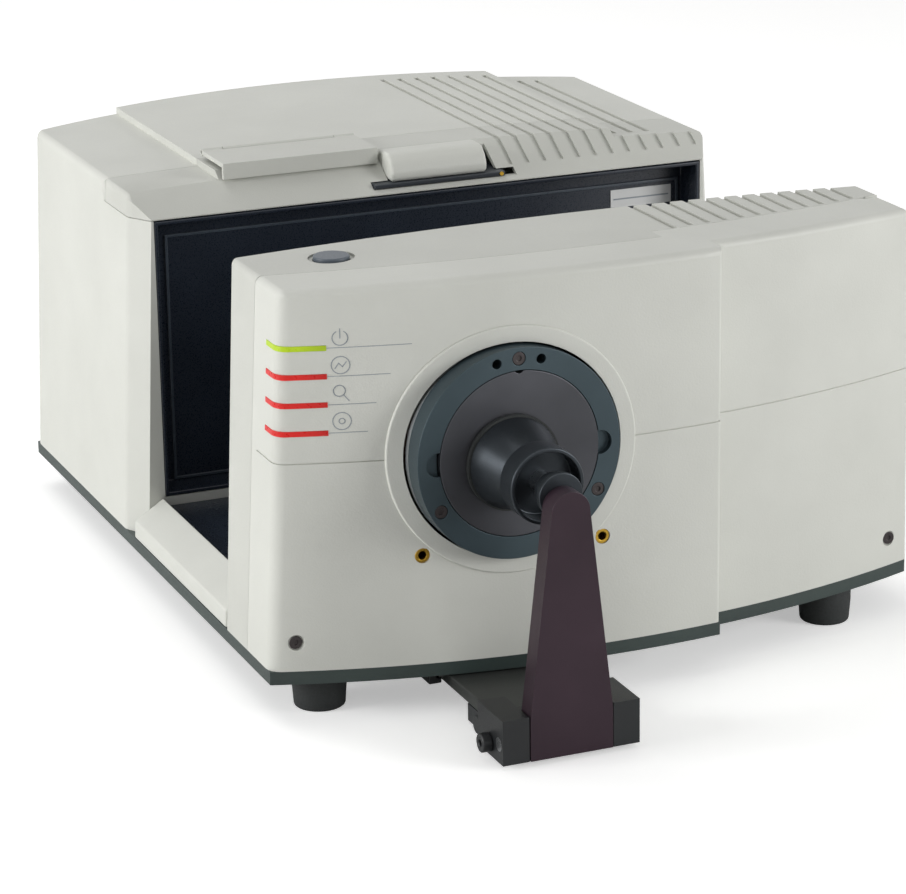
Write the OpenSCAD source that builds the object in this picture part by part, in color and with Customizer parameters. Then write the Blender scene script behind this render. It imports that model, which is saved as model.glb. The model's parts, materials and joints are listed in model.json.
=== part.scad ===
// Bench colour-measuring spectrophotometer with a bowed case, an open sample compartment,
// a front viewing port and a spring sample clamp on a sliding carriage.
// X runs across the case, Y from the clamp to the rear panel, Z up from the bench.
// Places inside the case are measured from the line through its two front corners
// and from the top of the base tray; in_case() moves them into the part's frame.

/* [Case] */
// Width of the case at its base
body_w = 420; // [380:5:480]
// Length of the case along one side, corner to corner
side_len = 476; // [450:2:520]
// How far the front wall bows out past its corners
front_bow = 38; // [25:1:50]
// How far the rear wall bows out past its corners
rear_bow = 40; // [25:1:50]
// How far each side leans in per millimetre of height
draft = 0.05; // [0.02:0.01:0.08]
// How far the front block's right side leans in per millimetre of height
block_right_draft = 0.02; // [0.01:0.01:0.06]
// Wall thickness of the moulded covers
cover_t = 3; // [2.5:0.5:4]
// Visible height of the base tray
tray_h = 8; // [7:0.5:12]
// Thickness of the floor of the tray
tray_floor_t = 3; // [2:0.5:4]
// Thickness of the wall of the tray
tray_wall_t = 8; // [6:1:10]

/* [Front block] */
// Depth of the front block at its sides
block_d = 77; // [72:1:90]
// Height of the front block at the middle of its crowned top
block_h = 227; // [215:1:240]
// Radius of the crown across both tops
crown_r = 5200; // [4000:100:8000]
// Distance from the middle of the case to the step in the front wall
step_x = 58; // [40:1:90]
// How far the right part of the front wall stands back
step_d = 14; // [8:1:20]
// Depth of the front fascia behind the front wall
fascia_d = 38.5; // [34:0.5:42]
// Distance from the middle of the case to the jog in the fascia's rear edge
jog_x = 37; // [25:1:45]
// Gap between neighbouring covers
cover_gap = 0.4; // [0.2:0.1:0.8]

/* [Rear housing] */
// Where the rear housing's front wall stands
housing_y = 255; // [245:1:265]
// Height of the rear housing at its sides
shoulder_h = 221.5; // [210:0.5:230]
// Height of the rear housing at the middle of its raised top
plateau_h = 226; // [222:0.5:236]
// Width of the raised top
plateau_w = 274; // [240:2:300]
// Length of the bevel over the compartment
slope_len = 34; // [28:1:40]
// Height of the bevel over the compartment
slope_h = 21.4; // [16:0.2:26]
// Width across the case of the bevel beside the compartment
side_bevel_w = 10; // [6:1:14]
// Length along the case of the bevel beside the compartment
side_bevel_len = 18; // [12:1:22]
// Where the front trim of the rear housing ends
trim_end_y = 322; // [316:1:330]
// How far the front trim comes down the sides
trim_drop = 18; // [14:1:24]

/* [Compartment] */
// Distance from a side of the case to the black opening
opening_inset = 22; // [18:1:40]
// Height of the opening's lower edge
opening_z0 = 24; // [20:1:30]
// Height of the opening's upper edge
opening_z1 = 203; // [195:1:206]
// Depth of the black pan let into the rear housing
pan_d = 23; // [18:1:28]
// Thickness of the black liner plates
liner_t = 2.5; // [2:0.5:4]
// Height of the compartment floor
floor_z = 18; // [16:1:20]
// Height of the sill's outer edge
sill_outer_z = 11; // [8:1:14]
// Width of the sill
sill_w = 20; // [16:1:24]
// Inset of the raised frame line from the opening's left side
frame_inset = 13; // [10:1:18]
// Width of the raised frame line
frame_line_w = 2; // [1.5:0.5:4]

// Left side of the label plate from the middle of the case
label_x0 = 134; // [100:1:136]
// Height of the label plate's lower edge
label_z0 = 172; // [120:1:173]
// Width of the label plate
label_w = 44; // [30:1:44]
// Height of the label plate
label_h = 12; // [8:1:13]

/* [Ribs] */
// Distance from one groove to the next
rib_pitch = 12.07; // [10:0.01:14]
// Width of a groove
groove_w = 4; // [3:0.5:6]
// Depth of a groove
groove_d = 1.6; // [1:0.2:2.4]
// Number of grooves on each top
groove_n = 12; // [8:1:12]
// Distance from the middle of the case to the first groove
groove_x0 = 57; // [50:1:60]
// How far the grooves stop short of the rear edge
groove_rear_margin = 20; // [14:1:30]

/* [Port] */
// Distance of the port from the middle of the case, to the left
port_x = 72; // [66:1:78]
// Height of the port's centre
port_z = 123.8; // [118:0.2:130]
// Plane of the port's front face
port_face_y = -42; // [-46:0.5:-40]
// Outer radius of the dark port ring
ring_r = 62; // [58:0.5:64]
// Thickness of the port ring
ring_t = 14; // [10:1:15]
// Radius of the port plate
plate_r = 48.5; // [44:0.5:50]
// Thickness of the port plate
plate_t = 6; // [4:0.5:8]
// Radius of the measuring opening in the port plate
aperture_r = 12.7; // [9:0.1:15]
// Outer radius of the light raised ring round the port
bezel_r = 73; // [70:0.5:76]
// How far the light ring stands proud
bezel_h = 1.5; // [1:0.25:3]
// Radial gap between the port ring and the fascia
ring_gap = 1.5; // [1:0.5:2.5]
// Radius of the locating holes in the port ring
dowel_r = 2.8; // [2:0.2:3.4]
// Radius of the circle that the port ring's holes lie on
ring_hole_r = 55.5; // [53:0.5:57]
// Radius of the finger notches in the port ring
finger_r = 7; // [5:0.5:8]

/* [Sphere] */
// Outer radius of the integrating sphere
sphere_r = 49; // [46:0.5:50]
// Wall of the sphere
sphere_t = 4; // [3:0.5:6]
// Radius of the sphere's flange behind the port
flange_r = 34; // [30:1:38]
// Thickness of the sphere's flange
flange_t = 10; // [8:1:14]
// Radius of the sphere's rear exit
exit_r = 11; // [8:0.5:12.5]

/* [Clamp] */
// Distance of the clamp from the middle of the case, to the left
clamp_x = 77; // [74:0.5:80]
// Plane of the clamp arm's front face
arm_front_y = -122; // [-126:0.5:-118]
// Thickness of the clamp arm
arm_t = 13; // [10:0.5:14]
// Half the width of the arm at its foot
arm_foot_w = 25; // [22:0.5:28]
// Half the width of the arm at its top
arm_top_w = 11.5; // [9:0.5:13]
// Height of the arm's rounded top above its centre line
arm_top_z = 126; // [122:0.5:132]
// Height of the arm's foot below the tray's top
arm_foot_z = -27; // [-28:0.5:-26]
// Width of one yoke ear
ear_w = 16; // [12:0.5:18]
// Gap between the arm and a yoke ear
ear_gap = 0.5; // [0.3:0.1:1]
// Radius of the arm's pivot pin
pivot_r = 4; // [3:0.25:5]
// Running clearance of a pin in its bore
pin_play = 0.05; // [0.03:0.01:0.1]
// Width of the clamp's sliding carriage plate
carriage_w = 66; // [60:1:72]
// Height of the carriage plate
carriage_h = 7.6; // [6:0.2:8]
// Length of the guide rails
rail_len = 150; // [120:5:180]
// Running gap round the carriage
slide_gap = 0.3; // [0.2:0.05:0.5]
// How far the carriage can be drawn forward
carriage_travel = 45; // [30:5:60]
// Outer radius of the sample cup's rim
cup_r = 22; // [19:0.5:24]
// Radius of the sample cup's pad
pad_r = 28; // [24:0.5:30]
// Thickness of the pad
pad_t = 3; // [2:0.5:4]
// Gap between the pad and the port plate
pad_gap = 0.4; // [0.3:0.1:1]
// Radius of the plunger shaft
shaft_r = 6; // [5:0.5:7]
// Radius of the plunger guide behind the arm
guide_r = 13; // [11:0.5:14]
// Travel of the sprung plunger
plunger_travel = 6; // [4:1:7]
// Radius of the clamp screws' heads
clamp_screw_r = 5.5; // [4.5:0.25:6]

/* [Controls and lights] */
// Distance of the top button from the middle of the case, to the left
button_x = 148; // [144:1:152]
// Where the top button stands
button_y = 49; // [46:1:52]
// Radius of the top button
button_r = 10.5; // [9:0.5:12]
// Radius of the dish round the top button
dish_r = 13.5; // [12.5:0.5:15]
// Depth of the dish round the top button
dish_d = 1.4; // [1:0.2:2]
// Travel of the top button
button_travel = 1.5; // [1:0.25:2]
// Height of the lowest light bar
light_z0 = 141.3; // [138:0.1:145]
// Distance from one light bar to the next
light_pitch = 16.4; // [14:0.1:18]
// Height of a light bar
light_h = 3; // [2.4:0.2:4]
// Length of a light bar on the front wall
light_front_len = 25; // [20:1:28]
// Length of a light bar on the side wall
light_side_len = 14; // [10:1:16]
// Number of light bars
light_n = 4; // [2:1:4]
// Inset of the fascia screws from the sides
cover_screw_x = 14.5; // [13:0.5:18]
// Height of the fascia screws
cover_screw_z = 17.4; // [15:0.2:20]
// Radius of the fascia screws' heads
cover_screw_r = 4; // [3:0.25:4.5]
// Distance of the brass inserts from the port's centre, across
insert_x = 53; // [50:0.5:56]
// Height of the brass inserts
insert_z = 65.5; // [62:0.5:68]
// Outer radius of a brass insert
insert_r = 4.5; // [4:0.25:5]
// Radius of a brass insert's tapped hole
insert_hole_r = 2.5; // [2:0.25:3]
// Length of a brass insert
insert_len = 12; // [10:1:14]

/* [Lid and slide] */
// Left side of the lid from the middle of the case
lid_x0 = -135; // [-138:1:-128]
// Width of the lid
lid_w = 104; // [90:1:110]
// Length of the lid along the case
lid_l = 38; // [34:1:44]
// Thickness of the lid
lid_t = 3; // [2.5:0.5:4]
// Radius of the lid's hinge pin
lid_pin_r = 1.2; // [1:0.1:1.5]
// Radius of the lid's hinge barrels
knuckle_r = 2.4; // [2:0.1:2.5]
// Left side of the slide's handle from the middle of the case
handle_x0 = -28; // [-28:1:-24]
// Width of the slide's handle
handle_w = 66; // [60:1:70]
// Length of the slide's handle along the case
handle_l = 26; // [22:1:30]
// Travel of the filter slide
slide_travel = 8; // [6:1:9]
// Thickness of the dark filter slide
slide_t = 3; // [2:0.5:4]

/* [Feet] */
// Height of a rubber foot
foot_h = 22; // [20:1:26]
// Radius of a rubber foot
foot_r = 16; // [13:0.5:18]
// Inset of the left feet from the side
foot_left_inset = 35; // [30:1:60]
// Inset of the right feet from the side
foot_right_inset = 55; // [30:1:60]
// Where the front feet stand
foot_front_y = 15; // [12:1:30]
// Where the rear feet stand
foot_rear_y = 440; // [420:5:450]
// Radius of a foot's screw
foot_screw_r = 2.5; // [2:0.25:3]

/* [Inside] */
// Thickness of a circuit board
board_t = 1.6; // [1.2:0.2:2]
// Width of the optics box
optics_w = 120; // [100:5:130]
// Length of the optics box
optics_l = 140; // [120:5:150]
// Height of the optics box
optics_h = 90; // [80:2:100]
// Radius of the lens
lens_r = 16; // [13:0.5:17]
// Width of the rear panel
rear_panel_w = 170; // [160:2:180]
// Height of the rear panel
rear_panel_h = 100; // [90:2:110]
// Thickness of the rear panel
rear_panel_t = 2; // [1.5:0.5:3]
// Where the rear panel stands
rear_panel_y = 456; // [450:1:462]
// Side of the square fan
fan_w = 60; // [50:5:60]
// Thickness of the fan
fan_t = 15; // [12:1:20]

/* [Hidden] */
$fn = 64;
eps = 0.01;
base_h = foot_h + tray_h;
half_w = body_w / 2;
opening_w = body_w - 2 * opening_inset;
front_arc_r = (half_w * half_w + front_bow * front_bow) / (2 * front_bow);
rear_arc_r = (half_w * half_w + rear_bow * rear_bow) / (2 * rear_bow);
rear_y = side_len + rear_bow;
mid_y = (arm_front_y + rear_y) / 2;
big = 900;
cut_h = 300;
floor_top = tray_floor_t - tray_h;
draft_a = atan(draft);
pan_y = housing_y + pan_d;
trim_z = shoulder_h - trim_drop;
ring_back_y = port_face_y + ring_t;
plate_back_y = port_face_y + plate_t;
mount_t = 4;
mount_back_y = ring_back_y + mount_t;
sphere_y = mount_back_y + 0.9 * sphere_r;
mount_bore_r = 26;
pad_face_y = port_face_y - pad_gap;
cup_len = 16;
cone_len = 30;
cone_neck_r = 17;
cup_front_y = pad_face_y - pad_t - cone_len - cup_len;
cup_z = port_z - 3.8;
arm_back_y = arm_front_y + arm_t;
pivot_y = arm_front_y + arm_t / 2;
pivot_z = arm_foot_z + 11;
ear_x = arm_foot_w + ear_gap;
yoke_depth = 34;
yoke_top_z = -8.6;
rail_w = 8;
rail_h = 10;
rail_y0 = -14;
tongue_h = 3;
tongue_w = 2.5;
carriage_top_z = -tray_h - 1;
engaged_len = 55;
carriage_end_y = rail_y0 + engaged_len + carriage_travel;
foot_screw_head_r = 5;
hinge_y = trim_end_y - knuckle_r - 1.2;
lid_z = plateau_h + 1.2;
lid_lip = 7.4;
barrel_foot_z = plateau_h - 2.4;
lid_y0 = hinge_y - lid_l;
pin_z = lid_z + lid_t / 2;
barrel_l = 14;
slide_z = opening_z1 + 4.2;
slide_y0 = housing_y + 3;
slide_l = 30;
optics_y0 = pan_y + 32;
optics_z0 = port_z - optics_h / 2;
lens_y = pan_y + 24;
lamp_x = sphere_r + 6;
lamp_w = 54;
lamp_d = 46;
lamp_h = 62;
lamp_z = 92;
lamp_foot_w = 44;
lamp_foot_d = 36;
psu_w = 110;
psu_y = optics_y0 - 14;
psu_l = rear_panel_y - power_inlet_d - 14 - psu_y;
psu_h = 45;
psu_x = 50;
board_z = 62;
board_w = 140;
board_l = rear_panel_y - fan_t - 10 - psu_y;
panel_x = 105;
power_inlet_d = 16;
fan_x = 35;
fan_z = 50;
ribs_y0 = fascia_d + cover_gap + 2;

// Moves the case's own places into the part's frame
module in_case() {
  translate([0, -mid_y, base_h]) children();
}

// A cylinder along Y that starts at y0
module rod_y(r, y0, len) {
  translate([0, y0, 0]) rotate([-90, 0, 0]) cylinder(h = len, r = r);
}

// A cone along Y from radius r0 at y0 to radius r1
module cone_y(r0, r1, y0, len) {
  translate([0, y0, 0]) rotate([-90, 0, 0]) cylinder(h = len, r1 = r0, r2 = r1);
}

// A cylinder along X that starts at x0
module rod_x(r, x0, len) {
  translate([x0, 0, 0]) rotate([0, 90, 0]) cylinder(h = len, r = r);
}

// A box by its low corner and its size
module block(low, size) {
  translate(low) cube(size);
}

// The circle that the front wall follows, moved back by a distance
module front_circle(back) {
  translate([0, front_arc_r - front_bow + back]) circle(r = front_arc_r, $fn = 200);
}

// Plan of the case with its two bowed ends and the step in the front wall
module plan(inset, step) {
  intersection() {
    translate([-half_w + inset, -big / 2]) square([body_w - 2 * inset, 2 * big]);
    translate([0, rear_y - rear_arc_r]) circle(r = rear_arc_r - inset, $fn = 200);
    union() {
      intersection() {
        front_circle(inset);
        translate([-half_w, -big / 2]) square([half_w + step - inset, 2 * big]);
      }
      intersection() {
        front_circle(inset + step_d);
        translate([step - inset - eps, -big / 2]) square([half_w, 2 * big]);
      }
    }
  }
}

// Cross-section of the case with leaning sides and a crowned top
module section(inset, top, right) {
  lean = draft * cut_h;
  intersection() {
    polygon([
      [-half_w + inset, 0],
      [half_w - inset, 0],
      [half_w - inset - right * cut_h, cut_h],
      [-half_w + inset + lean, cut_h]
    ]);
    translate([0, top - inset - crown_r]) circle(r = crown_r, $fn = 200);
  }
}

// Solid of the case below one top, pulled in by an inset
module case_solid(inset, top, right = draft) {
  intersection() {
    translate([0, 0, -tray_h - eps]) linear_extrude(cut_h) plan(inset, step_x);
    translate([0, big, 0]) rotate([90, 0, 0]) linear_extrude(2 * big) section(inset, top, right);
  }
}

// Solid of the case up to the front block's top
module block_solid(inset) {
  case_solid(inset, block_h, block_right_draft);
}

// Space in front of the fascia's rear edge, moved back by a distance
module before_fascia_edge(back) {
  translate([0, 0, -1]) linear_extrude(cut_h) difference() {
    translate([-half_w - 1, -big / 2]) square([body_w + 2, big / 2 + block_d - 5]);
    translate([0, fascia_d + back]) union() {
      intersection() {
        front_circle(0);
        translate([-half_w - 2, -big]) square([half_w + 2 + jog_x, 2 * big]);
      }
      intersection() {
        front_circle(step_d);
        translate([jog_x - eps, -big]) square([half_w + 2, 2 * big]);
      }
    }
  }
}

// Everything behind a plane of constant Y
module behind(y) {
  block([-big / 2, y, -tray_h - 1], [big, big, cut_h]);
}

module at_port() {
  translate([-port_x, 0, port_z]) children();
}

module at_clamp() {
  translate([-clamp_x, 0, 0]) children();
}

// Places of the brass inserts
module at_inserts() {
  for (side = [-1, 1]) translate([-port_x + side * insert_x, 0, insert_z]) children();
}

// Where the front wall lies at a distance from the middle of the case
function front_y(x) =
  front_arc_r - front_bow - sqrt(front_arc_r * front_arc_r - x * x) + (x > step_x ? step_d : 0);

module base_tray() {
  color("#39423f") in_case() difference() {
    translate([0, 0, -tray_h]) linear_extrude(tray_h) plan(0, step_x);
    translate([0, 0, floor_top]) linear_extrude(tray_h) plan(tray_wall_t, step_x);
    for (p = foot_places()) translate([p[0], p[1], -tray_h - 1]) cylinder(h = tray_h, r = foot_screw_r);
  }
}

function foot_places() = [
  for (y = [foot_front_y, foot_rear_y]) for (x = [-half_w + foot_left_inset, half_w - foot_right_inset]) [x, y]
];

module rubber_feet() {
  color("#1c1e1e") in_case() for (p = foot_places()) translate([p[0], p[1], -base_h]) difference() {
    union() {
      cylinder(h = foot_h * 0.6, r1 = foot_r * 0.94, r2 = foot_r);
      translate([0, 0, foot_h * 0.6]) cylinder(h = foot_h * 0.4, r = foot_r);
    }
    translate([0, 0, -1]) cylinder(h = foot_h + 2, r = foot_screw_r);
    translate([0, 0, -1]) cylinder(h = foot_h * 0.5 + 1, r = foot_screw_head_r + 1);
  }
}

module foot_screws() {
  color("#b9bcbc") in_case() for (p = foot_places()) translate([p[0], p[1], -base_h]) {
    translate([0, 0, foot_h * 0.5 - 3]) cylinder(h = 3, r = foot_screw_head_r);
    translate([0, 0, foot_h * 0.5]) cylinder(h = foot_h * 0.5 + tray_floor_t + 1, r = foot_screw_r - 0.1);
  }
}

// Light bars in the left front corner, grown by a gap for their slots
module light_bar_set(grow, proud, depth) {
  intersection() {
    difference() {
      block_solid(-proud);
      block_solid(depth);
    }
    for (i = [0:light_n - 1]) block(
      [-half_w - 5, -front_bow - 5, light_z0 + i * light_pitch - light_h / 2 - grow],
      [5 + light_front_len + 10 + grow, front_bow + 5 + light_side_len + grow, light_h + 2 * grow]
    );
  }
}

module front_cover() {
  color("#d2d3ce") in_case() difference() {
    union() {
      intersection() {
        difference() {
          block_solid(0);
          block_solid(cover_t);
        }
        before_fascia_edge(0);
      }
      // Raised light ring round the port
      intersection() {
        difference() {
          block_solid(-bezel_h);
          block_solid(cover_t - eps);
        }
        at_port() rod_y(bezel_r, -big / 10, big / 10);
      }
      // Bosses of the brass inserts
      intersection() {
        block_solid(eps);
        at_inserts() rod_y(insert_r + 3, -front_bow - 5, front_bow + 5 - front_bow + insert_len);
      }
    }
    at_port() rod_y(ring_r + ring_gap, -big / 10, big / 5);
    at_inserts() rod_y(insert_r, -big / 10, big / 5);
    light_bar_set(0.1, 5, cover_t + 1);
    for (side = [-1, 1]) translate([side * (half_w - cover_screw_x), 0, cover_screw_z]) {
      rod_y(2.2, -big / 10, big / 5);
      cone_y(cover_screw_r + 1.4, cover_screw_r + 0.4, front_y(side * (half_w - cover_screw_x)) - 3, 4.6);
    }
    // Fine horizontal split line
    difference() {
      block([-half_w - 1, -front_bow - 9, port_z - 0.4], [body_w + 2, front_bow + 9 + step_d + 14, 0.8]);
      block_solid(0.8);
      at_port() rod_y(bezel_r, -big / 10, big / 5);
    }
  }
}

module block_cover() {
  color("#b9b9b3") in_case() difference() {
    intersection() {
      difference() {
        block_solid(0);
        intersection() {
          block_solid(cover_t);
          block([-big / 2, -big, -tray_h - 2], [big, big + block_d - cover_t, cut_h]);
        }
        before_fascia_edge(cover_gap);
      }
      block([-big / 2, -big, 0], [big, big + block_d, cut_h]);
    }
    translate([-button_x, button_y, 0]) {
      translate([0, 0, block_h - 12]) cylinder(h = 20, r = button_r + 0.4);
      translate([0, 0, top_at(button_x) - dish_d]) cylinder(h = 20, r = dish_r);
    }
    at_port() rod_y(exit_r + 2, 0, block_d + 5);
    for (i = [0:groove_n - 1]) groove_front(groove_x0 - 4 + i * rib_pitch);
  }
}

// Height of the front block's crowned top at a distance from the middle
function top_at(x) = block_h - crown_r + sqrt(crown_r * crown_r - x * x);
function plateau_at(x) = plateau_h - crown_r + sqrt(crown_r * crown_r - x * x);

// One groove in the front block's top
module groove_front(x) {
  y0 = front_y(x) + ribs_y0;
  block([x - groove_w / 2, y0, top_at(x) - groove_d], [groove_w, block_d - y0 + 1, groove_d + 5]);
}

// Outline of the rear housing seen from the side
module housing_profile(inset, top) {
  polygon([
    [housing_y + inset, -tray_h - 5],
    [housing_y + inset, opening_z1 + 1.6 - inset * 0.3],
    [housing_y + slope_len + inset * 0.4, opening_z1 + 1.6 + slope_h - inset],
    [housing_y + slope_len + inset * 0.4, top + 5],
    [big, top + 5],
    [big, -tray_h - 5]
  ]);
}

// The wedge that bevels one front corner of the rear housing
module side_bevel(side, inset) {
  bevel_a = atan(side_bevel_w / side_bevel_len);
  translate([side * (half_w - inset), housing_y + side_bevel_len, 0]) rotate([0, -side * draft_a, 0])
    rotate([0, 0, side * -bevel_a]) translate([side > 0 ? 0 : -60, -80, -20]) cube([60, 100, cut_h]);
}

// Solid of the rear housing, pulled in by an inset
module housing_solid(inset) {
  difference() {
    intersection() {
      union() {
        case_solid(inset, shoulder_h);
        intersection() {
          case_solid(inset, plateau_h);
          block([-plateau_w / 2 + inset, 0, 0], [plateau_w - 2 * inset, big, cut_h]);
        }
      }
      rotate([90, 0, 90]) translate([0, 0, -big / 2]) linear_extrude(big) housing_profile(inset, plateau_h);
    }
    for (side = [-1, 1]) side_bevel(side, inset);
  }
}

// Space of the front trim of the rear housing
module trim_zone(gap) {
  block([-half_w, 0, trim_z + gap], [body_w, trim_end_y - gap, 60]);
}

module slide_well(gap) {
  block(
    [handle_x0 - gap, housing_y - 5, slide_z - gap],
    [handle_w + slide_travel + 2 * gap, slide_y0 + handle_l + gap - housing_y + 5, 60]
  );
}

module rear_cover() {
  color("#bfc0ba") in_case() difference() {
    difference() {
      housing_solid(0);
      housing_solid(cover_t);
    }
    difference() {
      trim_zone(0);
      behind(trim_end_y);
    }
    block([-opening_w / 2 - 0.3, housing_y - 5, opening_z0 - 0.3], [opening_w + 0.6, 12, big]);
    block([panel_x - rear_panel_w / 2 + 6, rear_panel_y - 5, 6], [rear_panel_w - 12, 90, rear_panel_h - 14]);
    for (i = [0:groove_n - 1]) groove_rear(groove_x0 + i * rib_pitch);
  }
}

// One groove in the rear housing's top that bends down over the bevel
module groove_rear(x) {
  y1 = rear_y - x * x / (2 * rear_arc_r) - groove_rear_margin;
  if (x < plateau_w / 2 + 40) {
    block([x - groove_w / 2, housing_y + slope_len - 1, z_groove(x)], [groove_w, y1 - housing_y - slope_len, 12]);
  }
}

function z_groove(x) = (x < plateau_w / 2 ? plateau_at(x) : shoulder_h - x * x / (2 * crown_r)) - groove_d;

// The middle barrel of the lid's hinge, which belongs to the trim
module middle_barrel() {
  x0 = lid_x0 + barrel_l + 0.4;
  w = lid_w - 2 * barrel_l - 0.8;
  difference() {
    union() {
      translate([0, hinge_y, pin_z]) rod_x(knuckle_r, x0, w);
      block([x0, hinge_y - knuckle_r, barrel_foot_z], [w, 2 * knuckle_r, pin_z - barrel_foot_z]);
    }
    translate([0, hinge_y, pin_z]) rod_x(lid_pin_r + pin_play, lid_x0 - 5, lid_w + 10);
  }
}

module top_trim() {
  color("#c4c5bf") in_case() {
    trim_shell();
    middle_barrel();
  }
}

module trim_shell() {
  difference() {
    intersection() {
      housing_solid(0);
      trim_zone(cover_gap);
    }
    housing_solid(cover_t);
    block([-opening_w / 2 - 0.3, housing_y - 5, 0], [opening_w + 0.6, 12, opening_z1 + 0.3]);
    slide_well(0.5);
    block([slide_left() - 0.5, housing_y - 5, slide_z - 0.5], [slide_len() + slide_travel + 1, slide_l + 8.5, slide_t + 1]);
    for (i = [0:groove_n - 1]) {
      groove_rear(groove_x0 + i * rib_pitch);
      slope_groove(groove_x0 + i * rib_pitch);
    }
  }
}

function slide_left() = handle_x0 - 12;
function slide_len() = handle_w + 24;

// The part of a groove that runs down the bevel over the compartment
module slope_groove(x) {
  slope_a = atan(slope_h / slope_len);
  translate([x - groove_w / 2, housing_y + slope_len * 0.36, opening_z1 + 1.6 + slope_h * 0.36 - groove_d])
    rotate([slope_a, 0, 0]) cube([groove_w, slope_len, groove_d + 6]);
}

// The light sill under one side of the compartment
module sill(side) {
  intersection() {
    difference() {
      translate([0, housing_y - cover_gap, 0]) rotate([90, 0, 0])
        linear_extrude(housing_y - block_d - 2 * cover_gap) polygon([
          [side * half_w, 0],
          [side * (half_w - sill_outer_z * draft), sill_outer_z],
          [side * (half_w - sill_w), opening_z0],
          [side * (half_w - sill_w), 0]
        ]);
      translate([0, housing_y - cover_gap + 1, 0]) rotate([90, 0, 0])
        linear_extrude(housing_y - block_d - 2 * cover_gap + 2) polygon([
          [side * (half_w - cover_t), -1],
          [side * (half_w - cover_t), sill_outer_z - cover_t],
          [side * (half_w - sill_w + cover_t), opening_z0 - cover_t - 3],
          [side * (half_w - sill_w + cover_t), -1]
        ]);
    }
    behind(0);
  }
}

module sill_left() {
  color("#d8d9d5") in_case() sill(-1);
}

module sill_right() {
  color("#d8d9d5") in_case() sill(1);
}

module compartment_pan() {
  pan_h = opening_z1 - opening_z0;
  color("#15171a") in_case() difference() {
    block([-opening_w / 2, housing_y, opening_z0], [opening_w, pan_d + liner_t, pan_h]);
    block(
      [-opening_w / 2 + liner_t, housing_y - 1, opening_z0 + liner_t],
      [opening_w - 2 * liner_t, pan_d + 1, pan_h - 2 * liner_t]
    );
    at_port() rod_y(lens_r + 1, housing_y, pan_d + 10);
  }
}

module frame_line() {
  x0 = -opening_w / 2 + frame_inset;
  w = opening_w - frame_inset - 2 * liner_t;
  z0 = opening_z0 + liner_t + 0.5;
  h = opening_z1 - liner_t - 12 - z0;
  color("#3a3e42") in_case() difference() {
    block([x0, pan_y - 1.6, z0], [w, 1.6, h]);
    block([x0 + frame_line_w, pan_y - 3, z0 + frame_line_w], [w - 2 * frame_line_w, 5, h - 2 * frame_line_w]);
  }
}

module label_plate() {
  color("#e4e5e2") in_case() block([label_x0, pan_y - 0.6, label_z0], [label_w, 0.6, label_h]);
}

module compartment_floor() {
  color("#17191c") in_case() block(
    [-half_w + sill_w + 0.5, block_d + liner_t + 0.6, floor_z - liner_t],
    [body_w - 2 * sill_w - 1, housing_y - block_d - liner_t - 1, liner_t]
  );
}

module compartment_front_wall() {
  color("#15171a") in_case() difference() {
    block([-half_w + sill_w, block_d + 0.2, floor_z - 12], [body_w - 2 * sill_w, liner_t, block_h - 20 - floor_z]);
    at_port() rod_y(exit_r, block_d - 5, 20);
  }
}

// Places of the port ring's holes and screws, by angle from the top
module on_ring(angles) {
  for (a = angles) at_port() rotate([0, a, 0]) translate([0, 0, ring_hole_r]) children();
}

module port_ring() {
  color("#3e4a4e") in_case() difference() {
    at_port() rod_y(ring_r, port_face_y, ring_t);
    at_port() rod_y(plate_r + 0.3, port_face_y - 1, ring_t + 2);
    for (side = [-1, 1]) at_port() translate([side * (plate_r + 1), 0, 0]) rod_y(finger_r, port_face_y - 1, 5);
    on_ring([-14, 14]) rod_y(dowel_r, port_face_y - 1, ring_t + 2);
    on_ring([0, 120, 240]) rod_y(2.6, port_face_y - 1, ring_t + 2);
    on_ring([0, 120, 240]) rod_y(4, port_face_y - 1, 3.1);
  }
}

module ring_screws() {
  color("#4a4648") in_case() on_ring([0, 120, 240]) {
    difference() {
      rod_y(3.8, port_face_y + 0.3, 1.6);
      rod_y(1.6, port_face_y - 1, 2.2);
    }
    rod_y(2.5, port_face_y + 1.8, ring_t - 1.8 + mount_t - 0.5);
  }
}

module port_plate() {
  color("#4d4e52") in_case() difference() {
    at_port() rod_y(plate_r, port_face_y, plate_t);
    at_port() rod_y(aperture_r, port_face_y - 1, plate_t + 2);
    at_port() translate([0, 0, plate_r + 1.5]) rod_y(3, port_face_y - 1, plate_t + 2);
  }
}

module port_mount() {
  color("#8f9496") in_case() difference() {
    union() {
      at_port() rod_y(ring_r, ring_back_y, mount_t);
      at_port() rod_y(plate_r, plate_back_y, ring_back_y - plate_back_y + 1);
    }
    at_port() rod_y(mount_bore_r, plate_back_y - 1, ring_t);
    on_ring([0, 120, 240]) rod_y(2.55, ring_back_y - 1, mount_t + 2);
    on_ring([-14, 14]) rod_y(dowel_r, ring_back_y - 1, mount_t + 2);
  }
}

module at_sphere() {
  at_port() translate([0, sphere_y, 0]) children();
}

module sphere_front() {
  color("#e9e9e4") in_case() difference() {
    union() {
      intersection() {
        at_sphere() sphere(r = sphere_r);
        block([-big / 2, -big, -50], [big, big + sphere_y, big]);
      }
      at_port() rod_y(flange_r, mount_back_y, flange_t);
    }
    at_sphere() sphere(r = sphere_r - sphere_t);
    at_port() rod_y(aperture_r + 1, mount_back_y - 1, 30);
    block([-big / 2, -big, -50], [big, big + mount_back_y, big]);
  }
}

module sphere_rear() {
  color("#e9e9e4") in_case() difference() {
    intersection() {
      at_sphere() sphere(r = sphere_r);
      block([-big / 2, sphere_y, -50], [big, big, big]);
      block([-big / 2, -big, -50], [big, big + block_d - cover_t - 0.4, big]);
    }
    at_sphere() sphere(r = sphere_r - sphere_t);
    at_port() rod_y(exit_r, sphere_y, 80);
    at_sphere() rotate([0, 0, 30]) rod_x(9, 0, 80);
  }
}

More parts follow.
